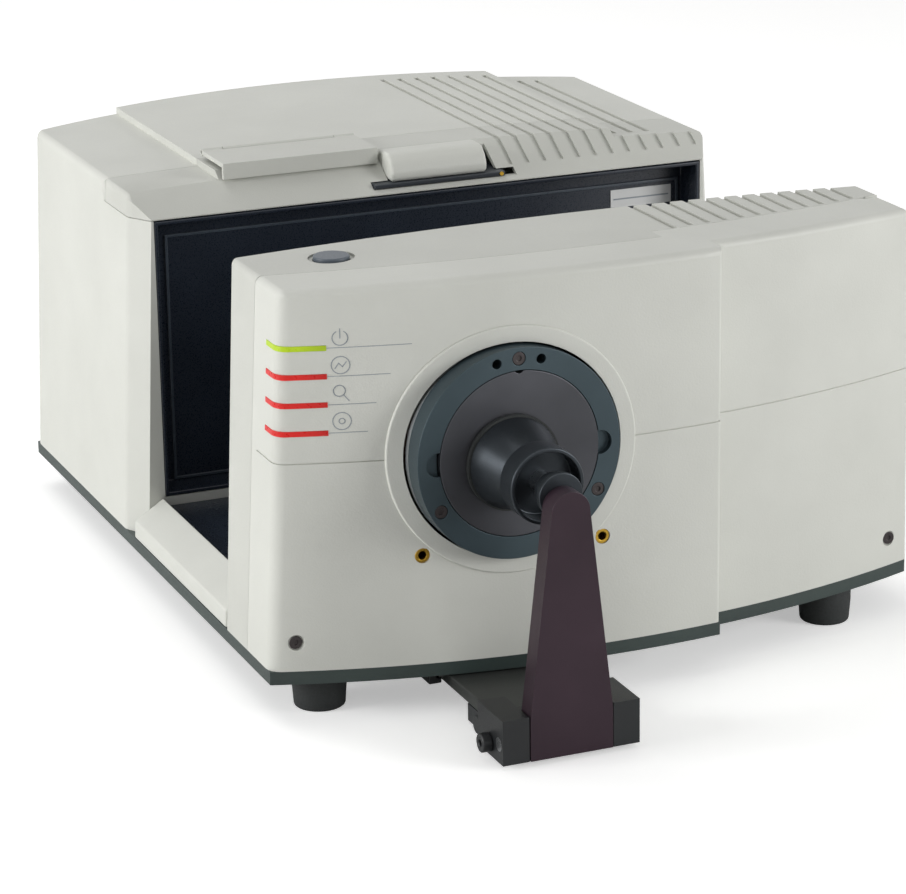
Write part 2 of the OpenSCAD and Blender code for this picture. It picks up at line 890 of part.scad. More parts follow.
module sphere_stand() {
  color("#9a9fa1") in_case() difference() {
    block([-port_x - 24, sphere_y - 22, floor_top], [48, 30, port_z - sphere_r * 0.82 - floor_top]);
    at_sphere() sphere(r = sphere_r + 0.2);
    block([-port_x - 18, sphere_y - 30, floor_top + 6], [36, 50, 50]);
  }
}

module lamp_housing() {
  color("#2a2c2f") in_case() difference() {
    union() {
      block([-port_x + lamp_x, 4, lamp_z], [lamp_w, lamp_d, lamp_h]);
      block([-port_x + lamp_x + 5, 8, floor_top], [lamp_foot_w, lamp_foot_d, lamp_z - floor_top + 1]);
    }
    block([-port_x + lamp_x + 2, 6, lamp_z + 2], [lamp_w - 4, lamp_d - 4, lamp_h - 4]);
    block([-port_x + lamp_x + 9, 0, floor_top + 8], [lamp_foot_w - 8, lamp_d + 14, lamp_z - floor_top - 16]);
    translate([-port_x, 36, port_z]) rod_x(9, lamp_x - 5, 10);
  }
}

module flash_lamp() {
  color("#dfe8ee") in_case() translate([-port_x + lamp_x + lamp_w / 2, 4 + lamp_d / 2, lamp_z + 2]) {
    cylinder(h = 8, r = 9);
    translate([0, 0, 8]) cylinder(h = 34, r = 6);
  }
}

module light_bars() {
  color("#c81e12") in_case() light_bar_set(0, 0.3, cover_t);
}

module light_board() {
  x0 = -half_w + 15;
  y0 = front_y(x0) + cover_t + 3.6;
  color("#1f5b36") in_case() {
    block([x0, y0, light_z0 - 8], [16, board_t, light_n * light_pitch + 2]);
    // Two posts that stand on the inside of the fascia
    intersection() {
      block_solid(cover_t + 0.05);
      for (i = [0.5, 2.5]) translate([x0 + 8, 0, light_z0 + i * light_pitch]) rod_y(2, y0 - 16, 16.5);
    }
  }
}

module cover_screws() {
  color("#55585a") in_case() for (side = [-1, 1]) {
    x = side * (half_w - cover_screw_x);
    y = front_y(x);
    translate([x, 0, cover_screw_z]) difference() {
      union() {
        cone_y(cover_screw_r, cover_screw_r - 0.6, y + 0.6, 0.9);
        rod_y(2, y + 1.4, 13.4);
      }
      rod_y(1.5, y - 1, 2.4);
    }
  }
}

module cover_brackets() {
  color("#9a9fa1") in_case() for (side = [-1, 1]) {
    x = side * (half_w - cover_screw_x);
    y = front_y(x + side * 4) + tray_wall_t + 0.4;
    difference() {
      union() {
        block([x - 4 - (side > 0 ? 3 : 0), y, floor_top], [11, 3, cover_screw_z + 6 - floor_top]);
        block([x - 4 - (side > 0 ? 3 : 0), y, floor_top], [11, 16, 3]);
      }
      translate([x, 0, cover_screw_z]) rod_y(2, y - 1, 5);
    }
  }
}

module brass_inserts() {
  color("#c9a437") in_case() for (side = [-1, 1]) {
    x = -port_x + side * insert_x;
    y = front_y(x) - 0.2;
    translate([x, 0, insert_z]) difference() {
      rod_y(insert_r - 0.02, y + 0.8, insert_len);
      rod_y(insert_hole_r, y, insert_len + 2);
    }
  }
}

module at_button() {
  translate([-button_x, button_y, top_at(button_x)]) children();
}

module macro_button() {
  color("#565a60") in_case() at_button() {
    translate([0, 0, -dish_d - 2]) cylinder(h = dish_d + 3.4, r = button_r);
    translate([0, 0, -dish_d - 5]) cylinder(h = 4, r = button_r - 4);
  }
}

module button_switch() {
  bracket_x = -button_x - 16;
  z = top_at(button_x) - dish_d - 5 - button_travel - 0.4;
  color("#26282b") in_case() {
    block([-button_x - 7, button_y - 7, z - 9], [14, 14, 9]);
    block([bracket_x, button_y - 9, z - 11], [32, 18, 2]);
    block([bracket_x, button_y - 9 + 16, z - 11], [32, block_d - cover_t - button_y - 7 - 0.3, 2]);
  }
}

module top_lid() {
  color("#c6c7c1") in_case() difference() {
    union() {
      block([lid_x0, lid_y0 - 3, lid_z], [lid_w, lid_l + 3 - knuckle_r - 0.5, lid_t]);
      // Front lip that hangs down over the bevel for a finger
      block([lid_x0, lid_y0 - 5, lid_z - lid_lip], [lid_w, 3, lid_t + lid_lip]);
      for (x = [lid_x0, lid_x0 + lid_w - barrel_l]) {
        translate([0, hinge_y, pin_z]) rod_x(knuckle_r, x, barrel_l);
        block([x, hinge_y - knuckle_r - 1, lid_z], [barrel_l, knuckle_r + 1, lid_t]);
      }
    }
    translate([0, hinge_y, pin_z]) rod_x(lid_pin_r + pin_play, lid_x0 - 1, lid_w + 2);
  }
}

module lid_pin() {
  color("#a9adae") in_case() translate([0, hinge_y, pin_z]) rod_x(lid_pin_r, lid_x0 + 1, lid_w - 2);
}

module filter_slide() {
  color("#3a3d40") in_case() block([slide_left(), slide_y0, slide_z], [slide_len(), slide_l, slide_t]);
}

module slide_handle() {
  top = plateau_h + 1.5;
  color("#c9cac5") in_case() translate([handle_x0, 0, 0]) rotate([90, 0, 90]) linear_extrude(handle_w) polygon([
    [slide_y0 + 2, slide_z + slide_t],
    [slide_y0, slide_z + slide_t + 5],
    [slide_y0 + 3, top - 5],
    [slide_y0 + 9, top],
    [slide_y0 + handle_l, top],
    [slide_y0 + handle_l, slide_z + slide_t]
  ]);
}

module lens_barrel() {
  color("#2b2d30") in_case() at_port() difference() {
    rod_y(lens_r + 4, pan_y + liner_t, optics_y0 - pan_y - liner_t);
    rod_y(lens_r - 2, pan_y, 60);
    rod_y(lens_r, pan_y, 28);
  }
}

module lens() {
  color("#cfe3ea") in_case() at_port() intersection() {
    rod_y(lens_r - 0.02, lens_y - 4, 7.6);
    translate([0, lens_y + 34, 0]) sphere(r = 38);
  }
}

module optics_box() {
  color("#24262a") in_case() difference() {
    block([-port_x - optics_w / 2, optics_y0, optics_z0], [optics_w, optics_l, optics_h]);
    block([-port_x - optics_w / 2 + 3, optics_y0 + 3, optics_z0 + 4], [optics_w - 6, optics_l - 6, optics_h]);
    at_port() rod_y(lens_r - 2, optics_y0 - 5, 12);
  }
}

module optics_lid() {
  color("#2d3034") in_case() block([-port_x - optics_w / 2, optics_y0, optics_z0 + optics_h], [optics_w, optics_l, 3]);
}

module grating() {
  color("#b7c4d2") in_case() translate([-port_x, optics_y0 + optics_l - 26, optics_z0 + 4]) rotate([0, 0, 12]) {
    block([-22, 0, 0], [44, 6, 64]);
    block([-22, 0, 0], [44, 16, 6]);
  }
}

module detector_board() {
  color("#1f5b36") in_case() block([-port_x + 34, optics_y0 + 20, optics_z0 + 4], [board_t, 80, 60]);
}

module optics_stand() {
  color("#9a9fa1") in_case() for (sx = [-1, 1]) for (y = [optics_y0 + 8, optics_y0 + optics_l - 20])
    block([-port_x + sx * (optics_w / 2 - 10) - 6, y, floor_top], [12, 12, optics_z0 - floor_top]);
}

module power_supply() {
  color("#a8acad") in_case() difference() {
    block([psu_x, psu_y, floor_top], [psu_w, psu_l, psu_h]);
    for (i = [0:5]) block([psu_x - 1, optics_y0 + i * 18, floor_top + 12], [6, 8, psu_h - 24]);
  }
}

module main_board() {
  color("#1f5b36") in_case() {
    block([psu_x - 15, psu_y, board_z], [board_w, board_l, board_t]);
    for (i = [0:3]) block([psu_x + i * 32, optics_y0 + 20, board_z + board_t], [18, 26, 5]);
  }
}

module board_posts() {
  color("#c3a85a") in_case() for (x = [psu_x - 9, psu_x + board_w - 22]) for (y = [psu_y + 6, psu_y + board_l - 7])
    translate([x, y, floor_top]) cylinder(h = board_z - floor_top, r = 3);
}

// The low corner of the rear panel
function panel_x0() = panel_x - rear_panel_w / 2;

module rear_panel() {
  color("#3c4346") in_case() difference() {
    block([panel_x0(), rear_panel_y, floor_top], [rear_panel_w, rear_panel_t, rear_panel_h]);
    translate([panel_x + fan_x, 0, fan_z]) rod_y(fan_w / 2 - 4, rear_panel_y - 5, 12);
    block([panel_x0() + 14, rear_panel_y - 5, 14], [28, 12, 20]);
    block([panel_x0() + 28 - 12.4, rear_panel_y - 5, 49 - 6.6], [24.8, 12, 13.2]);
    block([panel_x0() + 56, rear_panel_y - 5, 20], [14, 12, 12]);
    block([panel_x0() + 56, rear_panel_y - 5, 44], [14, 12, 12]);
  }
}

module power_inlet() {
  color("#1b1c1e") in_case() difference() {
    union() {
      block([panel_x0() + 14.2, rear_panel_y - power_inlet_d, 14.2], [27.6, power_inlet_d + 3, 19.6]);
      block([panel_x0() + 11, rear_panel_y + rear_panel_t, 12], [34, 2.5, 24]);
    }
    block([panel_x0() + 17, rear_panel_y - 12, 17], [22, 30, 14]);
  }
}

module power_switch() {
  color("#17181a") in_case() translate([panel_x0() + 28, rear_panel_y, 49]) intersection() {
    rotate([0, 90, 0]) translate([0, 0, -12]) cylinder(h = 24, r = 6.4);
    block([-12, -6, -6], [24, 12, 12]);
  }
}

module data_ports() {
  color("#2a2d31") in_case() for (z = [20, 44]) difference() {
    union() {
      block([panel_x0() + 56.2, rear_panel_y - 12, z + 0.2], [13.6, 15, 11.6]);
      block([panel_x0() + 53, rear_panel_y - 2.2, z - 3], [20, 2, 18]);
    }
    block([panel_x0() + 59, rear_panel_y - 8, z + 3], [8, 20, 6]);
  }
}

module at_fan() {
  translate([panel_x + fan_x, 0, fan_z]) children();
}

module fan_frame() {
  color("#202226") in_case() at_fan() difference() {
    block([-fan_w / 2, rear_panel_y - fan_t, -fan_w / 2], [fan_w, fan_t, fan_w]);
    difference() {
      rod_y(fan_w / 2 - 3, rear_panel_y - fan_t - 1, fan_t + 2);
      rod_y(9, rear_panel_y - 3, 3);
      for (a = [0, 90]) rotate([0, a, 0]) block([-fan_w / 2, rear_panel_y - 3, -2], [fan_w, 3, 4]);
    }
    rod_y(2.05, rear_panel_y - 10, 12);
  }
}

module fan_rotor() {
  color("#2c2f34") in_case() at_fan() {
    rod_y(10, rear_panel_y - fan_t + 1, fan_t - 4.6);
    rod_y(2, rear_panel_y - 5, 4.6);
    for (i = [0:6]) rotate([0, i * 360 / 7, 0]) translate([0, rear_panel_y - fan_t / 2 - 2, 0]) rotate([0, 0, 32])
      block([-0.8, -4, 8], [1.6, 8, fan_w / 2 - 12.5]);
  }
}

// Guide rails under the tray that the clamp's carriage runs in
module clamp_rails() {
  color("#1d1f21") in_case() at_clamp() for (side = [-1, 1]) difference() {
    x0 = side * (carriage_w / 2 + slide_gap) + (side < 0 ? -rail_w : 0);
    block([x0, rail_y0, -tray_h - rail_h], [rail_w, rail_len, rail_h]);
    block(
      [side < 0 ? x0 + rail_w - tongue_w - slide_gap : x0 - 1, rail_y0 - 1, tongue_z() - slide_gap],
      [tongue_w + slide_gap + 1, rail_len + 2, tongue_h + 2 * slide_gap]
    );
  }
}

function tongue_z() = carriage_top_z - carriage_h / 2 - tongue_h / 2;

module clamp_carriage() {
  y0 = arm_back_y + yoke_depth - 12;
  color("#3a3c39") in_case() at_clamp() {
    block([-carriage_w / 2, y0, carriage_top_z - carriage_h], [carriage_w, carriage_end_y - y0, carriage_h]);
    block([-carriage_w / 2 - tongue_w, rail_y0 - 1, tongue_z()], [carriage_w + 2 * tongue_w, carriage_end_y - rail_y0 + 1, tongue_h]);
  }
}

module clamp_yoke() {
  color("#1e2022") in_case() at_clamp() difference() {
    union() {
      for (side = [-1, 1]) block(
        [side > 0 ? ear_x : -ear_x - ear_w, arm_front_y + 0.5, arm_foot_z],
        [ear_w, arm_t + yoke_depth - 12, yoke_top_z - arm_foot_z + 8]
      );
      block([-ear_x - ear_w, arm_back_y + 8, arm_foot_z], [2 * (ear_x + ear_w), yoke_depth - 20, yoke_top_z - arm_foot_z]);
      block(
        [-carriage_w / 2, arm_back_y + yoke_depth - 12.5, arm_foot_z],
        [carriage_w, 36, carriage_top_z - carriage_h - arm_foot_z]
      );
    }
    translate([0, pivot_y, pivot_z]) rod_x(pivot_r, -ear_x - ear_w - 1, 2 * (ear_x + ear_w) + 2);
    block([-carriage_w / 2 - 0.1, arm_back_y + yoke_depth - 12.5, carriage_top_z - carriage_h], [carriage_w + 0.2, 60, 60]);
  }
}

module clamp_screws() {
  color("#2b2d30") in_case() at_clamp() for (y = [arm_back_y + 6, arm_back_y + 6 + 25])
    translate([0, y, pivot_z - 3]) difference() {
      rod_x(clamp_screw_r, -ear_x - ear_w - 6 + (y > arm_back_y + 20 ? ear_screw_shift() : 0), 6);
      rod_x(2, -ear_x - ear_w - 8, 5);
    }
}

function ear_screw_shift() = ear_x + ear_w - carriage_w / 2;

module clamp_arm() {
  color("#3b2d37") in_case() at_clamp() difference() {
    translate([0, arm_back_y, 0]) rotate([90, 0, 0]) linear_extrude(arm_t) {
      polygon([
        [-arm_foot_w, arm_foot_z],
        [arm_foot_w, arm_foot_z],
        [arm_foot_w, arm_foot_z + 24],
        [arm_top_w, arm_top_z - arm_top_w],
        [-arm_top_w, arm_top_z - arm_top_w],
        [-arm_foot_w, arm_foot_z + 24]
      ]);
      translate([0, arm_top_z - arm_top_w]) circle(r = arm_top_w);
    }
    translate([0, pivot_y, pivot_z]) rod_x(pivot_r + pin_play, -arm_foot_w - 1, 2 * arm_foot_w + 2);
  }
}

module pivot_pin() {
  color("#a9adae") in_case() at_clamp() translate([0, pivot_y, pivot_z]) rod_x(pivot_r, -ear_x - ear_w, 2 * (ear_x + ear_w));
}

module at_cup() {
  translate([-clamp_x, 0, cup_z]) children();
}

module plunger_guide() {
  len = cup_front_y - arm_back_y + 2 - plunger_travel;
  color("#2a2c30") in_case() at_cup() difference() {
    union() {
      rod_y(guide_r - 3, arm_back_y, len);
      rod_y(guide_r, arm_back_y, 4);
    }
    rod_y(shaft_r + pin_play, arm_back_y + 1, len + 1);
  }
}

module plunger_shaft() {
  color("#8b8e91") in_case() at_cup() rod_y(
    shaft_r,
    arm_back_y + 2 + plunger_travel,
    cup_front_y + cup_len - 4 - arm_back_y - 2 - plunger_travel
  );
}

module sample_cup() {
  color("#33363a") in_case() at_cup() difference() {
    union() {
      rod_y(cup_r, cup_front_y, cup_len);
      cone_y(cone_neck_r, pad_r - 1, cup_front_y + cup_len, cone_len);
    }
    rod_y(cup_r - 2.5, cup_front_y - 1, cup_len - 3);
    rod_y(shaft_r, cup_front_y, cup_len - 4);
  }
}

module sample_pad() {
  color("#1b1c1e") in_case() at_cup() rod_y(pad_r, pad_face_y - pad_t, pad_t);
}

base_tray();
rubber_feet();
foot_screws();
front_cover();
block_cover();
rear_cover();
top_trim();
sill_left();
sill_right();
compartment_pan();
compartment_floor();
compartment_front_wall();
frame_line();
label_plate();
port_ring();
ring_screws();
port_plate();
port_mount();
sphere_front();
sphere_rear();
sphere_stand();
lamp_housing();
flash_lamp();
light_bars();
light_board();
cover_screws();
cover_brackets();
brass_inserts();
macro_button();
button_switch();
top_lid();
lid_pin();
filter_slide();
slide_handle();
lens_barrel();
lens();
optics_box();
optics_lid();
grating();
detector_board();
optics_stand();
power_supply();
main_board();
board_posts();
rear_panel();
power_inlet();
power_switch();
data_ports();
fan_frame();
fan_rotor();
clamp_rails();
clamp_carriage();
clamp_yoke();
clamp_screws();
clamp_arm();
pivot_pin();
plunger_guide();
plunger_shaft();
sample_cup();
sample_pad();
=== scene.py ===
# %% [markdown]
# # A bench colour-measuring spectrophotometer
# The real instrument is a bowed case of light grey moulded covers on a dark steel tray. A black
# compartment runs across it, a dark metal port sits in its front wall, and a sprung clamp on a
# sliding carriage holds a sample against the port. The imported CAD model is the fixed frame, and
# each visible piece is dressed on top of it, in metres and in the same place.

# %% Load the frame
import bpy
import bmesh
import json
import math
from mathutils import Matrix, Vector


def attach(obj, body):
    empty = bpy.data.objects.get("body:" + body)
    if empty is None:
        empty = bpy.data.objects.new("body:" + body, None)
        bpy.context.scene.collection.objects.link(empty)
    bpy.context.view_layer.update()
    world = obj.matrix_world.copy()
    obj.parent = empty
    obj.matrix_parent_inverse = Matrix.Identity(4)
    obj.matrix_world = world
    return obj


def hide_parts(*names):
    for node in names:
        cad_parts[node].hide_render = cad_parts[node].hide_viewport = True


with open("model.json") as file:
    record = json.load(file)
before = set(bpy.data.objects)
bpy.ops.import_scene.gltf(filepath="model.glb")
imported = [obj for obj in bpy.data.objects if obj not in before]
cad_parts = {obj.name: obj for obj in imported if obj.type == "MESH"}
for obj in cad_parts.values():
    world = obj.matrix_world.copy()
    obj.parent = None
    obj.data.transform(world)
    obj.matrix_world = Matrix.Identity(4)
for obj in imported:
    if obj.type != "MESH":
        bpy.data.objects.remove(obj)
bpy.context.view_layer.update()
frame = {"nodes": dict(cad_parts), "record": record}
NODES = frame["nodes"]

# %% [markdown]
# ## Camera
# The view was worked out from the case's own straight edges and the round port: a long lens from
# the left, a little above the instrument. Blender's camera looks along its own -Z, so its
# matrix is built from the view's right, up and backward directions.

# %% Camera
YAW = math.radians(22.3209)
PITCH = math.radians(17.8685)
ROLL = math.radians(-0.9168)
VIEW_PLACE = Vector((-0.7948, -1.9007, 0.7425))
FOCAL_PX = 3397.7
PHOTO_W_PX = 906
SENSOR_MM = 36

ahead = Vector((math.sin(YAW) * math.cos(PITCH), math.cos(YAW) * math.cos(PITCH), -math.sin(PITCH)))
sideways = Vector((math.cos(YAW), -math.sin(YAW), 0))
upward = sideways.cross(ahead)
right_dir = sideways * math.cos(ROLL) + upward * math.sin(ROLL)
up_dir = upward * math.cos(ROLL) - sideways * math.sin(ROLL)

bpy.ops.object.select_all(action="DESELECT")
bpy.ops.object.camera_add()
camera = bpy.context.object
camera.name = "view_camera"
camera.matrix_world = Matrix((right_dir, up_dir, -ahead)).transposed().to_4x4()
camera.location = VIEW_PLACE
camera.data.sensor_fit = "HORIZONTAL"
camera.data.sensor_width = SENSOR_MM
camera.data.lens = FOCAL_PX / PHOTO_W_PX * SENSOR_MM
camera.data.clip_end = 20
bpy.context.scene.camera = camera
print("lens", round(camera.data.lens, 1), "mm")

# %% [markdown]
# ## Material helpers
# Every finish is a Principled shader with its colour, roughness and bump driven by noise at a
# real size. The helpers turn sRGB hex values into Blender's linear ones and add one node at a time.
# The noise reads Object coordinates, so it keeps its size on every piece.

# %% Helpers for materials
def linear(hex_code):
    """An sRGB hex colour as Blender's linear RGBA."""
    parts = [int(hex_code[i:i + 2], 16) / 255 for i in (1, 3, 5)]
    return [p / 12.92 if p <= 0.04045 else ((p + 0.055) / 1.055) ** 2.4 for p in parts] + [1.0]


def add(tree, kind, links=None, **settings):
    """Adds one node. Settings are its properties, or sockets by index as s0, s1; links name its inputs."""
    node = tree.nodes.new(kind)
    for key, value in settings.items():
        if key[0] == "s" and key[1:].isdigit():
            node.inputs[int(key[1:])].default_value = value
        else:
            setattr(node, key, value)
    for socket, source in (links or {}).items():
        tree.links.new(source, node.inputs[socket])
    return node


def shade(name, **base):
    """A new material and its Principled shader, with plain numbers on the shader's own sockets."""
    made = bpy.data.materials.new(name)
    made.use_nodes = True
    shader = made.node_tree.nodes["Principled BSDF"]
    for key, value in base.items():
        shader.inputs[key].default_value = value
    return made, made.node_tree, shader


def grain(tree, size_mm, detail=2.0):
    """Noise on Object coordinates whose blotches are about size_mm across."""
    place = add(tree, "ShaderNodeTexCoord").outputs["Object"]
    return add(tree, "ShaderNodeTexNoise", {"Vector": place}, s2=1000 / size_mm, s3=detail)


def tint(tree, shader, source, low, high):
    """Colours the shader from low to high with the source."""
    ramp = add(tree, "ShaderNodeValToRGB", {"Fac": source})
    for element, position, colour in zip(ramp.color_ramp.elements, (0.3, 0.7), (low, high)):
        element.position = position
        element.color = linear(colour)
    tree.links.new(ramp.outputs["Color"], shader.inputs["Base Color"])
    return ramp


def roughen(tree, shader, source, low, high):
    """Roughness that goes from low to high with the source."""
    spread = add(tree, "ShaderNodeMapRange", {"Value": source}, s1=0.3, s2=0.7, s3=low, s4=high)
    tree.links.new(spread.outputs[0], shader.inputs["Roughness"])


def bump(tree, shader, source, depth_mm):
    """Relief of depth_mm from the source."""
    relief = add(tree, "ShaderNodeBump", {"Height": source}, s0=1.0, s1=depth_mm / 1000)
    tree.links.new(relief.outputs[0], shader.inputs["Normal"])


def finish(name, low, high, rough, grain_mm, depth_mm, metal=0.0, patch_mm=60):
    """A finish with a fine grain that carries the relief and large faint patches that carry the colour."""
    made, tree, shader = shade(name, Metallic=metal)
    fine = grain(tree, grain_mm).outputs["Fac"]
    wide = grain(tree, patch_mm, 4.0).outputs["Fac"]
    tint(tree, shader, wide, low, high)
    roughen(tree, shader, fine, rough - 0.06, rough + 0.06)
    bump(tree, shader, fine, depth_mm)
    return made


# %% [markdown]
# ## Plastics and paints
# The covers are ABS from a spark-eroded mould, whose fine pebble scatters light and hides
# fingerprints. Steel under them is powder coated or painted. All are non-metals, so only their
# colour, roughness and relief tell them apart.

# %% Plastics and paints
# Spark-eroded ABS: a soft, even sheen with no sharp reflections
COVER = finish("moulded_abs_light_grey", "#cdcec7", "#d3d4cd", 0.5, 1.1, 0.09)
# The same light grey ABS, made a little darker on the top covers as painted shade on the tops
COVER_WITH_PAINTED_TOP_SHADE = finish("moulded_abs_light_grey_painted_top_shade", "#c3c4bd", "#c9cac3", 0.5, 1.1, 0.09)
# Powder coat has a slight orange peel
TRAY = finish("powder_coated_steel", "#2b3634", "#33403d", 0.45, 0.8, 0.06)
# Rubber is nearly without gloss
FOOT = finish("moulded_rubber", "#1f2222", "#292c2c", 0.75, 1.2, 0.05)
# Smooth dark paint inside the compartment keeps a faint real sheen, and its colour is also lifted and made bluer
# as a painted cool sheen
LINER_WITH_PAINTED_SHEEN = finish("black_painted_steel_painted_sheen", "#1d232d", "#262d38", 0.3, 0.7, 0.02)
# The raised edge line inside the compartment is coloured lighter than the black paint around it, as a painted
# highlight
EDGE_LINE_PAINTED_HIGHLIGHT = finish("satin_black_edge_painted_highlight", "#39414a", "#454e58", 0.32, 0.7, 0.02)
# Coated film is flat and a little brighter than the covers
LABEL = finish("printed_film", "#d9dad9", "#e2e3e2", 0.4, 1.0, 0.01)
# The coating inside the sphere has to be as white and matt as can be made
SPHERE = finish("barium_sulphate_coating", "#e6e6e0", "#f0f0ec", 0.9, 0.5, 0.05)
LAMP_BLACK = finish("stoved_black_enamel", "#17181a", "#202225", 0.5, 0.6, 0.03)
# Solder resist is glossy green over faint copper patches
BOARD = finish("solder_resist_board", "#11522f", "#186640", 0.35, 4.0, 0.02, patch_mm=12)
BUTTON = finish("slate_moulded_button", "#4a525b", "#525b64", 0.45, 0.8, 0.03)
SWITCH = finish("glossy_black_plastic", "#141516", "#1b1c1e", 0.25, 0.8, 0.01)
# Screen ink dries matt, and a spot of enamel paint a little glossier
PRINT = finish("screen_print_grey", "#8d949a", "#979ea4", 0.5, 1.0, 0.01)
MARK = finish("signal_yellow_paint", "#c79a1e", "#d6a828", 0.45, 0.6, 0.01)

# %% [markdown]
# ## Metals
# Anodised aluminium keeps some of the metal's reflection under a dyed, slightly rough skin, which a
# middle value of metallic stands for. Bare and blackened metals are fully metallic, or nearly.

# %% Metals
RING = finish("slate_anodised_aluminium", "#37444a", "#414f55", 0.42, 0.35, 0.02, 0.55)
ARM = finish("plum_anodised_aluminium", "#30222b", "#3b2b35", 0.34, 0.45, 0.02, 0.45)
CUP = finish("charcoal_anodised_aluminium", "#2c3034", "#393e43", 0.33, 0.35, 0.02, 0.7)
PLATE = finish("turned_grey_aluminium", "#45464a", "#535459", 0.38, 0.35, 0.02, 0.75)
# Black oxide is a thin brownish film on steel
SCREW = finish("black_oxide_steel", "#3c3839", "#4a4545", 0.4, 0.5, 0.03, 0.8)
STEEL = finish("ground_steel", "#a9acae", "#babdbf", 0.3, 0.4, 0.02, 1.0)
ALLOY = finish("machined_alloy", "#a2a6a8", "#b0b4b6", 0.42, 0.5, 0.03, 0.9)
BRASS = finish("turned_brass", "#b8933a", "#c9a548", 0.32, 0.4, 0.02, 1.0)
# Satin paints on steel parts of the slide and the clamp
SLIDE = finish("satin_grey_steel", "#2c3035", "#373c42", 0.4, 0.6, 0.02, 0.3)
CLAMP = finish("satin_black_paint", "#17191b", "#212426", 0.4, 0.6, 0.03, 0.1)
CARRIAGE = finish("carriage_paint", "#2c2e2c", "#383a38", 0.42, 0.6, 0.03, 0.1)

# The port's axis in the shared frame, in millimetres
PORT_AXIS_MM = (-72.0, 0.0, 153.8)
# Blender's ring wave repeats every 2 pi / 20 / scale metres, which is 25 mm here. Real tool marks
# are far finer than a pixel, so these wide, shallow rings only bend the sheen as turning does.
RING_WAVE_SCALE = 12.5


def turned(material, depth_mm):
    """Gives a material shallow rings round the port's axis, in place of its grain's relief."""
    tree = material.node_tree
    place = add(tree, "ShaderNodeTexCoord").outputs["Object"]
    centre = [-value / 1000 for value in PORT_AXIS_MM]
    centred = add(tree, "ShaderNodeMapping", {"Vector": place}, s1=centre)
    rings = add(
        tree, "ShaderNodeTexWave", {"Vector": centred.outputs[0]}, s1=RING_WAVE_SCALE,
        wave_type="RINGS", rings_direction="Y")
    bump(tree, tree.nodes["Principled BSDF"], rings.outputs["Fac"], depth_mm)


turned(PLATE, 0.05)
turned(CUP, 0.04)

# %% [markdown]
# ## Glass and lit bars
# The lens and the lamp are coated glass. The four light bars are tinted acrylic lit from behind. One
# piece holds them all, so its colour goes by height: the top bar is green and the rest are red.
# Their glow fades towards the tips, which lie furthest from the lamps behind them.

# %% Glass and lit bars
GLASS, glass_tree, glass_shader = shade(
    "coated_glass", Roughness=0.05, IOR=1.46, **{"Transmission Weight": 1.0, "Base Color": linear("#dfeef2")})
roughen(glass_tree, glass_shader, grain(glass_tree, 8).outputs["Fac"], 0.03, 0.09)

# Heights and widths in metres, in the shared frame
GREEN_ABOVE_Z = 0.212
GLOW_FADES_FROM_X, GLOW_ENDS_AT_X = -0.19, -0.177
GLOW_STRENGTH = 0.22

GLOW, glow_tree, glow_shader = shade("lit_bars")
roughen(glow_tree, glow_shader, grain(glow_tree, 2).outputs["Fac"], 0.25, 0.4)
glow_place = add(glow_tree, "ShaderNodeTexCoord").outputs["Object"]
glow_axes = add(glow_tree, "ShaderNodeSeparateXYZ", {0: glow_place})
is_top = add(glow_tree, "ShaderNodeMath", {0: glow_axes.outputs["Z"]}, operation="GREATER_THAN", s1=GREEN_ABOVE_Z)
glow_ramp = tint(glow_tree, glow_shader, is_top.outputs[0], "#c8120c", "#a9c416")
glow_tree.links.new(glow_ramp.outputs["Color"], glow_shader.inputs["Emission Color"])
glow_fade = add(
    glow_tree, "ShaderNodeMapRange", {"Value": glow_axes.outputs["X"]},
    s1=GLOW_FADES_FROM_X, s2=GLOW_ENDS_AT_X, s3=GLOW_STRENGTH, s4=0.0)
glow_tree.links.new(glow_fade.outputs[0], glow_shader.inputs["Emission Strength"])

# %% [markdown]
# ## Finishes on the CAD pieces
# Each CAD node names a material slot, so one table dresses them all. Pieces that aren't
# rounded below stay as the CAD model made them and are already finished here.

# %% Finishes on the CAD pieces
WORN = {
    "light_cover": COVER, "mid_cover": COVER_WITH_PAINTED_TOP_SHADE, "base_dark": TRAY, "foot_rubber": FOOT,
    "liner_black": LINER_WITH_PAINTED_SHEEN, "frame_edge": EDGE_LINE_PAINTED_HIGHLIGHT, "label_pale": LABEL, "ring_slate": RING,
    "plate_metal": PLATE, "screw_dark": SCREW, "screw_steel": STEEL, "cast_alloy": ALLOY,
    "sphere_white": SPHERE, "lamp_black": LAMP_BLACK, "lamp_glass": GLASS, "light_red": GLOW,
    "board_green": BOARD, "brass": BRASS, "button_grey": BUTTON, "switch_black": SWITCH,
    "pin_steel": STEEL, "slide_dark": SLIDE, "lens_glass": GLASS, "clamp_black": CLAMP,
    "arm_plum": ARM, "cup_dark": CUP, "carriage_grey": CARRIAGE,
}
SLOT_OF = {s["node"]: s["material_slot"] for s in frame["record"]["subparts"]}
for node_name, node in NODES.items():
    for index in range(len(node.data.materials)):
        node.data.materials[index] = WORN[SLOT_OF[node_name]]
print("materials", len(bpy.data.materials))

# %% [markdown]
# ## Shape helpers
# A CAD node is exact but has hard edges and loose triangles. Most visible pieces are dressed from a
# copy of their node: its triangles are merged, its flat faces joined, and its edges rounded as a
# mould or a cutter leaves them. The edges to round are picked by how sharp they are and, on the
# covers, by where they lie. Cutting new shapes out of blocks was the other way, but it lost faces.

# %% Helpers for shapes
SHARP_DEG = 25
SMOOTH_DEG = 32


def pick(obj):
    """Makes obj the only selected and active object."""
    bpy.ops.object.select_all(action="DESELECT")
    obj.select_set(True)
    bpy.context.view_layer.objects.active = obj


